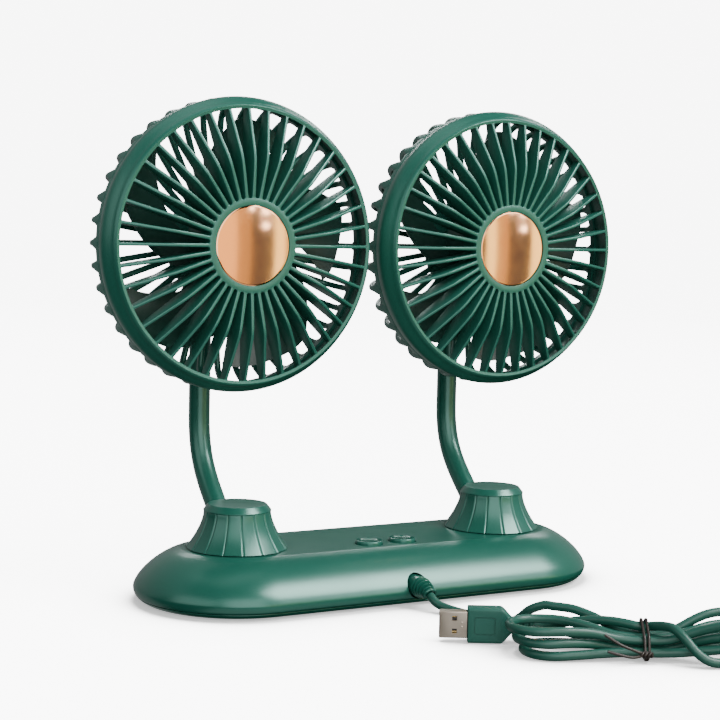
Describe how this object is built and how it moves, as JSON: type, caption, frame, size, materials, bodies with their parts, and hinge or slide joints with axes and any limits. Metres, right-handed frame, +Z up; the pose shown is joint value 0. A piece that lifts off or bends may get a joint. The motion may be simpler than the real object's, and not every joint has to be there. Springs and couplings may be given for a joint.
{
  "type": "usb desk fan",
  "caption": "Double-head desk fan: caged heads with metal hub discs on curved arms over a pill-shaped base with push buttons and a tied USB cord.",
  "frame": {"origin": "centre of the pad's underside, on the surface that the fan stands on", "axes": "+Z up, +X along the base from the left head to the right head, heads facing -Y"},
  "size_m": [0.2838, 0.256, 0.2381],
  "materials": {
    "green_plastic": "satin",
    "dark_plastic": "matt",
    "copper": "polished",
    "steel": "brushed",
    "nickel": "satin",
    "board": "matt",
    "silicone": "matt",
    "cord": "satin",
    "tie": "matt",
    "tongue": "matt"
  },
  "bodies": {
    "base": {"base_top_shell": "green_plastic", "base_bottom_cover": "green_plastic", "anti_slip_pad": "silicone", "base_screw_1": "steel", "base_screw_2": "steel", "base_screw_3": "steel", "base_screw_4": "steel", "circuit_board": "board", "left_switch": "dark_plastic", "right_switch": "dark_plastic", "cord_strain_relief": "cord", "cord_lead": "cord", "cord_hank": "cord", "cord_tie": "tie", "usb_plug_body": "cord", "usb_plug_shell": "nickel", "usb_contact_tongue": "tongue"},
    "left_button": {"left_button": "green_plastic"},
    "left_stand": {"left_turret": "green_plastic", "left_turret_cap": "green_plastic", "left_swivel_retainer": "steel", "left_arm": "green_plastic"},
    "left_head": {"left_front_grille": "green_plastic", "left_rear_grille": "green_plastic", "left_hub_disc": "copper", "left_motor_housing": "green_plastic", "left_motor": "steel", "left_housing_screw_1": "steel", "left_housing_screw_2": "steel", "left_housing_screw_3": "steel", "left_tilt_screw": "steel"},
    "left_rotor": {"left_impeller": "dark_plastic", "left_motor_shaft": "steel"},
    "right_button": {"right_button": "green_plastic"},
    "right_stand": {"right_turret": "green_plastic", "right_turret_cap": "green_plastic", "right_swivel_retainer": "steel", "right_arm": "green_plastic"},
    "right_head": {"right_front_grille": "green_plastic", "right_rear_grille": "green_plastic", "right_hub_disc": "copper", "right_motor_housing": "green_plastic", "right_motor": "steel", "right_housing_screw_1": "steel", "right_housing_screw_2": "steel", "right_housing_screw_3": "steel", "right_tilt_screw": "steel"},
    "right_rotor": {"right_impeller": "dark_plastic", "right_motor_shaft": "steel"}
  },
  "joints": [
    {"name": "left_button_press", "type": "slide", "parent": "base", "child": "left_button", "axis": [0, 0, -1], "range_m": [0, 0.0012], "stiffness_N_per_m": 200, "springref_m": -0.0005},
    {"name": "left_swivel", "type": "hinge", "parent": "base", "child": "left_stand", "pos_m": [-0.0725, 0, 0.025], "axis": [0, 0, 1], "range_deg": [-90, 90]},
    {"name": "left_tilt", "type": "hinge", "parent": "left_stand", "child": "left_head", "pos_m": [-0.0725, 0.046, 0.1687], "axis": [1, 0, 0], "range_deg": [-15, 12]},
    {"name": "left_spin", "type": "hinge", "parent": "left_head", "child": "left_rotor", "pos_m": [-0.0725, 0, 0.1687], "axis": [0, -1, 0], "continuous": true},
    {"name": "right_button_press", "type": "slide", "parent": "base", "child": "right_button", "axis": [0, 0, -1], "range_m": [0, 0.0012], "stiffness_N_per_m": 200, "springref_m": -0.0005},
    {"name": "right_swivel", "type": "hinge", "parent": "base", "child": "right_stand", "pos_m": [0.0725, 0, 0.025], "axis": [0, 0, 1], "range_deg": [-90, 90]},
    {"name": "right_tilt", "type": "hinge", "parent": "right_stand", "child": "right_head", "pos_m": [0.0725, 0.046, 0.1687], "axis": [1, 0, 0], "range_deg": [-15, 12]},
    {"name": "right_spin", "type": "hinge", "parent": "right_head", "child": "right_rotor", "pos_m": [0.0725, 0, 0.1687], "axis": [0, -1, 0], "continuous": true}
  ]
}
